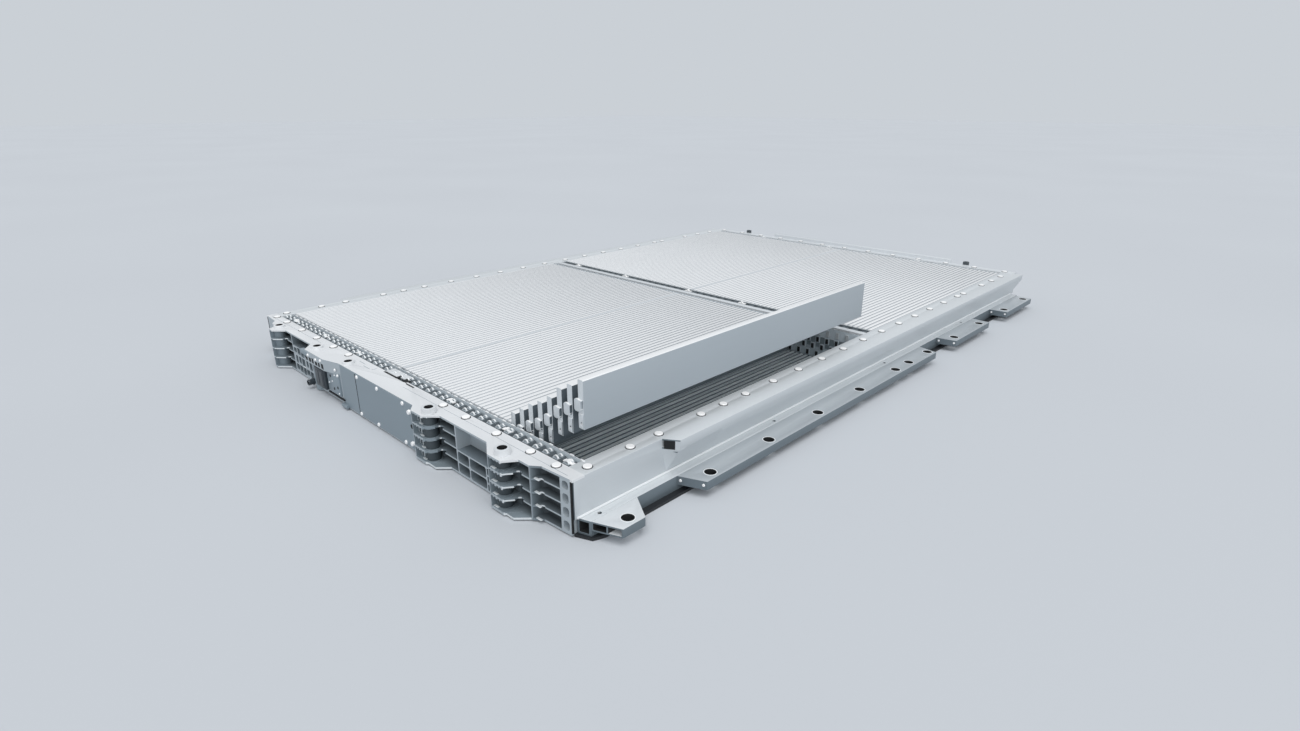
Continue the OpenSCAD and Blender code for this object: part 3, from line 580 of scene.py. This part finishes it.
for i in range(1, DRAWN_OUT_CELLS + 1):
    # On every lifted cell but the last, the right side faces a gap and is painted dark as shade.
    right_side = blade_side if i == DRAWN_OUT_CELLS else blade_shade
    soften("lifted_cell_%d" % i, [can_metal, right_side, cap_metal, blade_side], 0.5, rule=lifted_rule)

# %% [markdown]
# The carriers are moulded strips. Their castles are dark grey, the grooves between them are painted dark as
# shade, and the top of the thin upstand along the cell ends is painted pale as a highlight.

# %% Carriers
def carrier_rule(middle, normal, area):
    """0 is a castle, 1 the upstand's rim with a painted highlight, 2 a groove in painted shade, 3 the wall
    below.
    """
    z = middle.z * 1000.0
    if normal.z > 0.5:
        return 1 if z > TOP - 1.5 else 0 if z > TOP - 5.0 else 2
    return 0 if z > TOP - 12.0 else 3


for name in ("front", "middle_front", "middle_rear", "rear"):
    soften("carrier_" + name, [carrier_plastic, carrier_rim, carrier_groove_shade, wall_plastic], 0.5,
           rule=carrier_rule)

# %% [markdown]
# The ridges that carry the cells have a smooth pressed crest, painted brighter than their duller flanks as a
# highlight.

# %% Ridges of the open bay
soften("seat_ridges", [ridge_compound, ridge_crest_highlight], 0.4, segments=1,
       rule=lambda middle, normal, area: 1 if normal.z > 0.5 else 0)

# %% [markdown]
# The other solids are shown as they are, with a finish of their own.

# %% Finishes of the solids that show
plain = {
    "bottom_guard": guard_plastic, "floor_plate": floor_metal, "thermal_pads": ridge_compound,
    "centre_bar_front": crossbeam_metal, "centre_bar_rear": crossbeam_metal,
    "busbars_front": link_metal, "busbars_middle_front": link_metal,
    "busbars_middle_rear": link_metal, "busbars_rear": link_metal, "carrier_clips": bolt_metal,
    "cover_plate_wide": cover_metal, "cover_plate_narrow": cover_metal_light, "cover_screws": bolt_metal,
    # The rear bosses take the casting's shaded copy, painted dark all over as shade.
    "rear_bosses": shaded_cast_metal,
    "contactors": connector_plastic, "main_fuse": fuse_body, "monitor_board": board_resin,
}
for name, finish in plain.items():
    nodes[name].data.materials.clear()
    nodes[name].data.materials.append(finish)
print(len(plain), "solids finished")

# %% [markdown]
# ## Small pieces
# What follows up to the studio is too fine for the solids, apart from a shorter plug housing and coolant
# stub. A few helpers make it: `bar` adds a block with soft edges between two corners of the drawing,
# `side_bar` the same block on one side of the pack, `hull` a solid round some points, and `disc` a short
# upright or lying cylinder, a cone or, with a bore, a ring. Repeated shapes are gathered in one mesh, so
# that a row of clamps is one piece.

# %% Bars, hulls and discs
def bar(shape, low, high, soft=0.0, segments=1):
    """Adds a block to shape, from its low corner to its high corner in the drawing."""
    made = bmesh.ops.create_cube(shape, size=1.0, matrix=block_place(low, high))
    if soft:
        edges = list({e for v in made["verts"] for e in v.link_edges})
        bmesh.ops.bevel(shape, geom=edges, offset=mm(soft), offset_type="OFFSET", segments=segments,
                        profile=0.5, affect="EDGES", clamp_overlap=True, material=-1)


def side_bar(shape, side, low, high, soft=0.0):
    """Adds a block on side 1 or -1 of the pack. Its corners are those that it has on side 1."""
    left, right = sorted((side * low[0], side * high[0]))
    bar(shape, (left, *low[1:]), (right, *high[1:]), soft)


def hull(shape, points):
    """Adds the smallest solid round the points, which are places in the drawing."""
    bmesh.ops.convex_hull(shape, input=[shape.verts.new(at(*point)) for point in points])


def disc(shape, x, y, z, radius, height, bore=0.0, sides=20, facing="up", top_radius=None):
    """Adds a cylinder, cone or ring that starts at the point and grows up or to the front."""
    turn = Matrix.Rotation(math.radians(90.0), 4, "X") if facing == "front" else Matrix()
    place = Matrix.Translation(at(x, y, z)) @ turn
    upper = radius if top_radius is None else top_radius
    if not bore:
        bmesh.ops.create_cone(shape, cap_ends=True, segments=sides, radius1=mm(radius), radius2=mm(upper),
                              depth=mm(height), matrix=place @ Matrix.Translation((0, 0, mm(height) / 2)))
        return
    corners = [shape.verts.new(place @ Vector((mm(r), 0, mm(h))))
               for r, h in ((bore, 0), (radius, 0), (upper, height), (bore, height))]
    loop = [shape.edges.new((corners[i], corners[(i + 1) % 4])) for i in range(4)]
    bmesh.ops.spin(shape, geom=corners + loop, cent=place.to_translation(),
                   axis=place.to_3x3() @ Vector((0, 0, 1)), angle=math.tau, steps=sides, use_merge=True)


def piece_of(name, finish, fill, soft_angle=35.0):
    """One piece made by fill, which adds its shapes to an empty mesh."""
    shape = bmesh.new()
    fill(shape)
    bmesh.ops.recalc_face_normals(shape, faces=shape.faces)
    piece = new_piece(name, shape, finish, soft_angle)
    print(name, len(piece.data.polygons), "faces")
    return piece


# %% [markdown]
# ### Bolts along the top
# The top bolts have low, flat, bright heads, each ringed by a thin black disc that paints the shadow at its
# foot.

# %% Bolt heads and their painted shadow rings
BOLT_SPOTS = {
    "side_bolts_right": [(RAIL_BOLT_X, y) for y in RAIL_BOLTS_Y],
    "side_bolts_left": [(-RAIL_BOLT_X, y) for y in RAIL_BOLTS_Y],
    "front_bolts": [(x, -12.0) for x in FRONT_BOLTS_X],
    "rear_bolts": [(x, REAR_Y + 18.5) for x in REAR_BOLTS_X],
}
HEAD_R = 8.2
HEAD_HEIGHT = 1.7
SHADOW_RING_R = 9.7
SHADOW_RING_HEIGHT = 0.6
SHANK_R = 3.0
SHANK_LENGTH = 14.0


def heads(spots):
    """Gives the function that adds flat heads with a chamfer, and their shanks, at the spots."""
    def fill(shape):
        for x, y in spots:
            disc(shape, x, y, TOP + SHADOW_RING_HEIGHT, HEAD_R, HEAD_HEIGHT, sides=24)
            disc(shape, x, y, TOP + SHADOW_RING_HEIGHT + HEAD_HEIGHT, HEAD_R, 0.5, sides=24, top_radius=7.5)
            disc(shape, x, y, TOP - SHANK_LENGTH, SHANK_R, SHANK_LENGTH + SHADOW_RING_HEIGHT, sides=12)
    return fill


def shadow_rings(shape):
    for spots in BOLT_SPOTS.values():
        for x, y in spots:
            disc(shape, x, y, TOP, SHADOW_RING_R, SHADOW_RING_HEIGHT, bore=SHANK_R, sides=24)


for name, spots in BOLT_SPOTS.items():
    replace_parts(piece_of(name + "_heads", bolt_metal, heads(spots)), name)
piece_of("bolt_shadow_rings", black_painted_shade, shadow_rings)

# %% [markdown]
# ### The front row
# One clamp sits on each castle, over two cells. It has two pressed saddles and two arched straps, a larger
# and a smaller one. The upstand behind the row carries a small lug between two clamps. The straps and lugs
# are painted bright as highlights.

# %% Clamps and lugs of the front row
CLAMP_X = [side * (SPACER_HALF + (2 * k + 1) * PITCH)
           for side in (-1, 1) for k in range(CELLS_A_SIDE // 2)]
STRAP_SPOTS = ((8.0, 5.5), (18.0, 4.5))
STRAP_SECTION = ((0, -1.5), (1.2, -1.5), (1.2, 1.5), (0, 1.5))
CASTLE_TOP = TOP - 3.0


def saddles(shape):
    for x in CLAMP_X:
        bar(shape, (x - 7.5, 4.0, CASTLE_TOP), (x + 7.5, 12.0, TOP - 1.2), 0.5)
        bar(shape, (x - 6.0, 14.5, CASTLE_TOP), (x + 6.0, 22.0, TOP - 0.6), 0.6)


def straps(shape):
    for x in CLAMP_X:
        for y, radius in STRAP_SPOTS:
            start = at(x + radius, y, CASTLE_TOP)
            ring = [shape.verts.new(start + Vector((mm(dx), mm(dy), 0))) for dx, dy in STRAP_SECTION]
            rim = [shape.edges.new((ring[i], ring[(i + 1) % 4])) for i in range(4)]
            bmesh.ops.spin(shape, geom=ring + rim, cent=at(x, y, CASTLE_TOP), axis=(0, 1, 0),
                           angle=-math.pi, steps=8)


def lugs(shape):
    for x in CLAMP_X:
        bar(shape, (x + 9.5, 29.5, TOP - 2.0), (x + 19.5, 33.0, TOP + 1.2), 0.5)


piece_of("row_saddles", clamp_metal, saddles)
piece_of("row_straps", highlight_metal, straps)
piece_of("row_lugs", highlight_metal, lugs)

# %% [markdown]
# ### Flange holes and the upper chambers
# Each hole in a flange has a small chamfer round it, painted bright as a highlight. The upper chamber of a
# beam is deep, and a black block inside its slanted mouth paints its shade; the mouth has a lip on its outer
# side and a fairing that runs down to the sill. The sleeves on the right stand up in collars of the milled
# finish, painted lighter as lit.

# %% Hole chamfers, chamber mouths and collars
MOUTH_PLAN = ((3.5, 188.5), (21.0, 200.0), (3.5, 212.0), (21.0, 212.0))
MOUTH_DROPS = (20.2, 2.6)
LIP_PLAN = ((21.2, 199.6), (28.9, 204.7), (21.2, 220.0), (28.9, 220.0))
LIP_DROPS = (20.3, 2.6)
FAIRING = ((RAIL_OUT, 185.6, TOP - 20.0), (RAIL_OUT + 27.8, 203.8, TOP - 20.0),
           (RAIL_OUT, 198.0, FLANGE_TOP + 4.2), (RAIL_OUT, 330.0, FLANGE_TOP + 4.2),
           (RAIL_OUT + 29.0, 330.0, TOP - 17.4))


def chamfers(shape):
    for side in (1, -1):
        for y in FLANGE_HOLES_Y:
            disc(shape, side * FLANGE_HOLE_X, y, FLANGE_TOP, 13.6, 0.35, bore=FLANGE_HOLE_R, sides=28)


def prism(shape, side, plan, drops):
    """Adds an upright solid on one side. Its plan counts x from the wall, and drops count from the top."""
    hull(shape, [(side * (RAIL_OUT + x), y, TOP - drop) for x, y in plan for drop in drops])


def chamber_shade(shape):
    for side in (1, -1):
        side_bar(shape, side, (RAIL_OUT + 1.0, 211.0, TOP - 16.6), (RAIL_OUT + 25.6, REAR_Y + 8.0, TOP - 3.4))
        prism(shape, side, MOUTH_PLAN, MOUTH_DROPS)


def fairings(shape):
    for side in (1, -1):
        hull(shape, [(side * x, y, z) for x, y, z in FAIRING])
        prism(shape, side, LIP_PLAN, LIP_DROPS)


def collars(shape):
    for x, y in SLEEVES:
        if x > 0:
            disc(shape, x, y, TOP + 0.1, SLEEVE_R + 0.7, 11.6, bore=SLEEVE_R + 0.05, sides=32)


piece_of("hole_chamfers", highlight_metal, chamfers)
piece_of("chamber_shade", black_painted_shade, chamber_shade)
piece_of("chamber_fairings", beam_wall_shade, fairings, soft_angle=10.0)
piece_of("sleeve_collars", milled_lit_casting_top, collars)

# %% [markdown]
# The front ends of the flanges are shut with slanted plates, each held by two small bright screws.

# %% Flange end plates
FLANGE_ENDS = [((SILL_OUT + 0.5, inner_y), (FLANGE_OUT - 0.5, outer_y))
               for inner_y, outer_y in ((205.0, 226.6), (1355.0, 1364.8), (1780.0, 1784.8))]
PLATE_THICK = 1.2
PLATE_HEIGHT = 16.5


def end_plates(shape):
    for side in (1, -1):
        for (x0, y0), (x1, y1) in FLANGE_ENDS:
            start, end = at(side * x0, y0, FLANGE_TOP - 9.0), at(side * x1, y1, FLANGE_TOP - 9.0)
            turn = Matrix.Rotation(math.atan2(end.y - start.y, end.x - start.x), 4, "Z")
            size = Matrix.Diagonal(((end - start).length, mm(PLATE_THICK), mm(PLATE_HEIGHT), 1.0))
            bmesh.ops.create_cube(shape, size=1.0, matrix=Matrix.Translation((start + end) / 2) @ turn @ size)


def end_screws(shape):
    for side in (1, -1):
        for (x0, y0), (x1, y1) in FLANGE_ENDS:
            for share in (0.12, 0.9):
                x, y = x0 + (x1 - x0) * share, y0 + (y1 - y0) * share
                disc(shape, side * x, y - 0.4, FLANGE_TOP - 8.0, 3.2, 1.6, facing="front", sides=12,
                     top_radius=2.6)


piece_of("flange_end_plates", dull_shaded_metal, end_plates)
piece_of("flange_end_screws", bolt_metal, end_screws)

# %% [markdown]
# ### Lines and lips
# A weld lip, painted bright as a highlight, runs along the foot of each side beam. The joint where the
# casting's ends meet the beams is painted black as shade, a shallow groove along the top plate is drawn as a
# thin dark line that paints its shade, and a black strip paints the shadow round the main lead's tab in its
# cut-out.

# %% Lips, joints and grooves
def lips(shape):
    for side in (1, -1):
        side_bar(shape, side, (RAIL_OUT, -20.0, FLANGE_TOP + 0.4),
                 (RAIL_OUT + 2.4, REAR_Y + 8.0, FLANGE_TOP + 4.6), 0.5)


def joints(shape):
    for side in (1, -1):
        side_bar(shape, side, (679.2, -27.6, 8.0), (682.0, -24.2, TOP - 4.2))


def grooves(shape):
    for left, right in ((110.0, 666.0), (-662.0, -320.0)):
        bar(shape, (left, -20.9, TOP - 0.2), (right, -20.3, TOP + 0.12))
    for x, y in ((-101.0, -13.0), (-64.0, -20.6)):
        bar(shape, (x - 14.0, y - 0.5, TOP - 0.2), (x + 16.0, y + 0.5, TOP + 0.2))
    bar(shape, (-38.6, -20.0, TOP - 0.2), (-37.6, -8.0, TOP + 0.2))


def lead_gap_shadow(shape):
    bar(shape, (-8.0, -6.5, TOP - 1.0), (50.0, -2.2, TOP + 0.3))
    bar(shape, (46.5, -6.5, TOP - 1.0), (52.5, 22.0, TOP + 0.3))
    bar(shape, (74.0, -5.0, TOP - 1.0), (93.0, 8.0, TOP + 0.3))
    bar(shape, (101.0, -8.5, TOP - 1.0), (132.0, -5.5, TOP + 0.3))


def lead_plate(shape):
    bar(shape, (-5.0, -2.0, TOP), (46.0, 20.5, TOP + 2.0), 0.6, 2)
    bar(shape, (46.0, 10.0, TOP - 2.0), (78.0, 21.0, TOP + 1.2), 0.6, 2)
    bar(shape, (20.0, 4.0, TOP - 3.0), (70.0, 20.0, TOP), 0.4)
    disc(shape, 12.0, 9.0, TOP + 2.0, 5.5, 3.0, sides=6, top_radius=5.2)


piece_of("beam_lips", highlight_metal, lips)
piece_of("end_joint_shade", black_painted_shade, joints)
piece_of("top_plate_groove_shade", cover_metal, grooves)
piece_of("lead_gap_shadow", black_painted_shade, lead_gap_shadow)
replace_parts(piece_of("lead_plate", flange_metal, lead_plate), "main_lead_tab")

# %% [markdown]
# ### Fittings on the left of the front
# The plug housing sits almost flush under the ledge, beside a short stub for the coolant, a pale plate with
# plug holes painted black as shade, and a bracket. Small windows, painted black as shade, and screws break
# up the ledge above them.

# %% Plug, stub, plates and screws
COVER_FACE = -57.0
PLATE_FACE = -60.0
LEDGE_FACE = -70.0
STUB_X = -311.0
STUB_Z = 18.0


def plug_housing(shape):
    bar(shape, (-272.0, -64.5, 22.0), (-214.0, -50.0, 78.0), 3.0, 3)
    bar(shape, (-267.0, -66.0, 27.0), (-219.0, -64.0, 73.0), 1.0, 2)
    for x in (-262.0, -241.0):
        bar(shape, (x, -66.8, 32.0), (x + 17.0, -65.8, 68.0), 0.3)


def short_stub(shape):
    disc(shape, STUB_X, -50.0, STUB_Z, 7.0, 22.0, bore=5.0, sides=24, facing="front")
    disc(shape, STUB_X, -57.0, STUB_Z, 9.5, 3.0, bore=6.5, sides=24, facing="front")
    disc(shape, STUB_X, -69.0, STUB_Z, 8.2, 2.5, bore=5.0, sides=24, facing="front", top_radius=7.2)


def plug_plate(shape):
    bar(shape, (-206.0, PLATE_FACE, 26.0), (-138.0, -50.0, 82.0), 0.8, 2)
    bar(shape, (-330.0, -72.0, 96.0), (-290.0, -60.0, 106.0), 0.8, 2)
    bar(shape, (-134.0, -64.0, 5.0), (-106.0, -55.0, 13.0), 0.8, 2)


# Black discs and bars paint the shade in the plug holes, the ledge's windows and a few other gaps.
def plug_hole_shade(shape):
    for x, z in ((-172.0, 38.0), (-150.0, 46.0), (-186.0, 68.0)):
        disc(shape, x, PLATE_FACE + 0.2, z, 3.6, 0.6, facing="front", sides=14)
    bar(shape, (-212.0, PLATE_FACE, 18.5), (-124.0, COVER_FACE, 22.0))
    bar(shape, (-47.9, COVER_FACE - 0.4, 8.0), (-46.1, COVER_FACE, TOP - 2.0))
    disc(shape, 205.0, COVER_FACE, 60.0, 5.0, 0.5, facing="front", sides=16)
    for i in range(6):
        x = -298.0 + i * 18.5
        width, top = 9.0 + (i % 2) * 3.0, 93.0 + (i % 3) * 2.0
        bar(shape, (x, LEDGE_FACE - 0.5, 84.5), (x + width, LEDGE_FACE + 1.0, top))


def front_screws(shape):
    for x, z in ((-206.0, 104.0), (-150.0, 92.0), (-140.0, 80.0), (-236.0, 99.0), (-282.0, 100.0)):
        face = LEDGE_FACE if x < -195.0 else PLATE_FACE
        disc(shape, x, face, z, 3.8, 2.4, facing="front", sides=14, top_radius=3.0)
    for x, z in ((206.0, 94.0), (206.0, 22.0)):
        disc(shape, x, COVER_FACE - 2.0, z, 5.6, 4.0, facing="front", sides=18, top_radius=4.6)
    for x, z in ((-198.0, 48.0), (-160.0, 76.0), (-146.0, 32.0), (-178.0, 56.0)):
        disc(shape, x, PLATE_FACE + 0.2, z, 2.3, 1.2, facing="front", sides=12, top_radius=1.8)


# Short bright bars at the ends of the shelves paint the highlights that the shelves catch.
def rib_end_highlights(shape):
    for i in range(LEVELS):
        for x, y in ((252.0, -62.0), (509.0, -65.0), (597.0, -37.0)):
            bar(shape, (x, y - 3.0, shelf_z(i) - 0.2), (x + 14.0, y + 2.0, shelf_z(i) + 2.0), 0.8, 2)


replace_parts(piece_of("plug_housing", connector_plastic, plug_housing), "hv_connector")
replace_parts(piece_of("short_stub", connector_plastic, short_stub), "coolant_stub")
piece_of("plug_plate", cover_metal_light, plug_plate)
piece_of("plug_hole_shade", black_painted_shade, plug_hole_shade)
piece_of("front_screws", bolt_metal, front_screws)
piece_of("rib_end_highlights", cast_rim_highlight, rib_end_highlights)

# %% [markdown]
# ### The far wall of the open bay
# Each cell of the open bay plugs into a moulded wall. It carries three staggered rows of sockets with a
# raised rim, their mouths painted black as shade, and a light upright tab above every second place.

# %% Sockets and tabs of the bay
OPEN_X = [place_x(k, 1) for k in range(CELLS_A_SIDE - OPEN_PLACES, CELLS_A_SIDE)]
SOCKET_ROWS_Z = (31.0, 52.0, 73.0)
WALL_FACE = 996.8


def socket_spots():
    """The middles of the sockets, in rows where every second place is left out."""
    for row, z in enumerate(SOCKET_ROWS_Z):
        for i, x in enumerate(OPEN_X):
            if (i + row) % 2 == 0:
                yield x, z


def socket_rims(shape):
    for x, z in socket_spots():
        bar(shape, (x - 6.5, 992.5, z - 9.5), (x + 6.5, WALL_FACE, z + 9.5), 1.2)


def socket_mouth_shade(shape):
    for x, z in socket_spots():
        bar(shape, (x - 4.2, 992.1, z - 7.0), (x + 4.2, 993.5, z + 7.0), 0.3)


def bay_tabs(shape):
    for x in OPEN_X[::2]:
        bar(shape, (x - 4.5, 993.0, 86.0), (x + 4.5, WALL_FACE, 104.0), 0.8)


piece_of("socket_rims", wall_plastic, socket_rims)
piece_of("socket_mouth_shade", black_painted_shade, socket_mouth_shade)
piece_of("bay_tabs", carrier_rim, bay_tabs)

# %% [markdown]
# ## Studio
# A pale matt floor takes the pack's soft shadow. One wide light shines from above, a weaker one from the
# right, and a low one from the front corner reaches into the open bay.

# %% Floor
FLOOR_DARK = (0.53, 0.555, 0.59)
FLOOR_LIGHT = (0.565, 0.593, 0.627)
floor_shape = bmesh.new()
bmesh.ops.create_grid(floor_shape, x_segments=1, y_segments=1, size=30.0)
floor_data = bpy.data.meshes.new("studio_floor")
floor_shape.to_mesh(floor_data)
floor_shape.free()
studio_floor = bpy.data.objects.new("studio_floor", floor_data)
bpy.context.scene.collection.objects.link(studio_floor)
floor_finish = Finish("floor_paint")
sweep = floor_finish.noise(0.7, EVEN, detail=1.0)
floor_data.materials.append(floor_finish.shade(
    floor_finish.blend(FLOOR_DARK, FLOOR_LIGHT, sweep), 0.8, extra={"Specular IOR Level": 0.1}))
print("floor ready")

# %% [markdown]
# The world has two skies. A soft one lights the pack. The other, close in tone to the floor, is what the
# camera sees, and what shows in reflections and through anything clear.

# %% World
world = bpy.data.worlds.new("studio_world")
world.use_nodes = True
bpy.context.scene.world = world
sky = world.node_tree
soft_sky = sky.nodes["Background"]
soft_sky.inputs["Color"].default_value = (0.80, 0.83, 0.86, 1.0)
soft_sky.inputs["Strength"].default_value = 0.62
seen_sky = sky.nodes.new("ShaderNodeBackground")
seen_sky.inputs["Color"].default_value = (0.592, 0.63, 0.672, 1.0)
path = sky.nodes.new("ShaderNodeLightPath")
either = sky.nodes.new("ShaderNodeMixShader")
seen = path.outputs["Is Camera Ray"]
for ray in ("Is Glossy Ray", "Is Transmission Ray"):
    both = sky.nodes.new("ShaderNodeMath")
    both.operation = "MAXIMUM"
    sky.links.new(seen, both.inputs[0])
    sky.links.new(path.outputs[ray], both.inputs[1])
    seen = both.outputs[0]
sky.links.new(seen, either.inputs[0])
sky.links.new(soft_sky.outputs[0], either.inputs[1])
sky.links.new(seen_sky.outputs[0], either.inputs[2])
sky.links.new(either.outputs[0], sky.nodes["World Output"].inputs["Surface"])
print("world ready")


# %% Lights
def sun(name, power, spread, direction, tint):
    """A far light that shines in a direction. Its spread in degrees makes the shadows soft."""
    data = bpy.data.lights.new(name, "SUN")
    data.energy = power
    data.angle = math.radians(spread)
    data.color = tint
    one = bpy.data.objects.new(name, data)
    one.rotation_euler = Vector(direction).to_track_quat("-Z", "Y").to_euler()
    bpy.context.scene.collection.objects.link(one)


sun("ceiling_light", 1.5, 50.0, (-0.25, 0.25, -1.0), (1.0, 1.0, 1.0))
sun("low_front_light", 0.6, 35.0, (-0.613, 0.635, -0.469), (1.0, 1.0, 1.0))
sun("right_light", 0.35, 40.0, (-0.905, -0.283, -0.311), (0.95, 0.98, 1.0))
print("lights ready")
